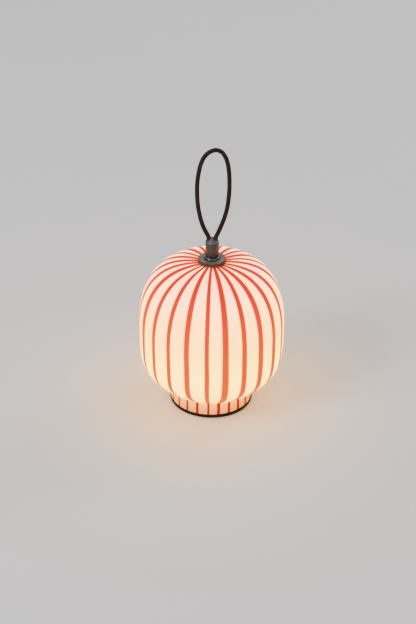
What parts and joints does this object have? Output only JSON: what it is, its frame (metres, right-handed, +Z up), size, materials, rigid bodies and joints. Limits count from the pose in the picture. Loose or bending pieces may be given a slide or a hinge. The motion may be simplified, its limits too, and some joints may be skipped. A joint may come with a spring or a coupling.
{
  "type": "portable table lamp",
  "caption": "Portable table lamp: striped opal glass globe on a straight neck, thin dark base, knurled top nut, swivel post and a braided carrying loop.",
  "frame": {"origin": "on the surface that the lamp stands on, on the axis of the glass", "axes": "+Z up along the axis of the glass, +X along the plane of the cord loop, -Y towards the front; the button and the charging socket are under the back of the base"},
  "size_m": [0.178, 0.178, 0.3452],
  "materials": {
    "opal_glass": "satin opal glass, white with fused orange-red stripes, lit from inside",
    "gunmetal": "turned metal with a brown-grey gunmetal finish",
    "blackened_steel": "turned steel, blackened and polished",
    "black_steel": "steel plate with a fine matt black powder coat",
    "foot_rubber": "matt black rubber",
    "clear_silicone": "milky silicone rubber",
    "bare_aluminium": "turned bare aluminium",
    "screw_steel": "bright zinc-plated steel",
    "nylon": "black nylon",
    "white_plastic": "white moulded polycarbonate",
    "black_plastic": "black moulded plastic",
    "cell_wrap": "steel can in a blue shrink wrap",
    "circuit_board": "green circuit board",
    "lead_insulation": "red wire insulation",
    "led_phosphor": "yellow phosphor silicone over the light-emitting diodes",
    "braided_cord": "tightly braided dark brown cord"
  },
  "bodies": {
    "lamp": {"foot_ring": "foot_rubber", "base_plate": "black_steel", "battery_cup": "white_plastic", "battery_cell_front": "cell_wrap", "battery_cell_rear": "cell_wrap", "cell_pad": "foot_rubber", "base_screw_1": "screw_steel", "base_screw_2": "screw_steel", "base_screw_3": "screw_steel", "base_screw_4": "screw_steel", "deck_screw_1": "screw_steel", "deck_screw_2": "screw_steel", "deck_screw_3": "screw_steel", "deck_screw_4": "screw_steel", "stem_screw_1": "screw_steel", "stem_screw_2": "screw_steel", "stem_screw_3": "screw_steel", "control_board": "circuit_board", "usb_socket": "screw_steel", "tact_switch": "black_plastic", "led_lead": "lead_insulation", "deck_plate": "bare_aluminium", "led_board": "white_plastic", "led_ring": "led_phosphor", "diffuser_dome": "white_plastic", "glass_shade": "opal_glass", "lip_seal": "foot_rubber", "stem": "bare_aluminium", "stem_collar": "screw_steel", "threaded_bush": "blackened_steel", "inner_gasket": "clear_silicone", "outer_gasket": "foot_rubber", "upper_thrust_washer": "nylon", "lower_thrust_washer": "nylon"},
    "button": {"power_button": "foot_rubber"},
    "washer": {"pressure_washer": "screw_steel"},
    "nut": {"knurled_nut": "gunmetal"},
    "swivel": {"swivel_post": "gunmetal", "retaining_ring": "screw_steel", "cord_grub_screw_left": "screw_steel", "cord_grub_screw_right": "screw_steel", "cord_loop": "braided_cord"}
  },
  "joints": [
    {"name": "post_swivel", "type": "hinge", "parent": "lamp", "child": "swivel", "pos_m": [0, 0, 0.2019], "axis": [0, 0, 1], "continuous": true},
    {"name": "nut_rise", "type": "slide", "parent": "lamp", "child": "washer", "axis": [0, 0, 1], "range_m": [0, 0.002]},
    {"name": "nut_turn", "type": "hinge", "parent": "washer", "child": "nut", "pos_m": [0, 0, 0.1965], "axis": [0, 0, 1], "range_deg": [0, 720]},
    {"name": "button_press", "type": "slide", "parent": "lamp", "child": "button", "axis": [0, 0, 1], "range_m": [0, 0.001], "stiffness_N_per_m": 400}
  ],
  "couplings": [
    {"joint": "nut_turn", "follows": "nut_rise", "rad_per_m": 6283.1}
  ]
}
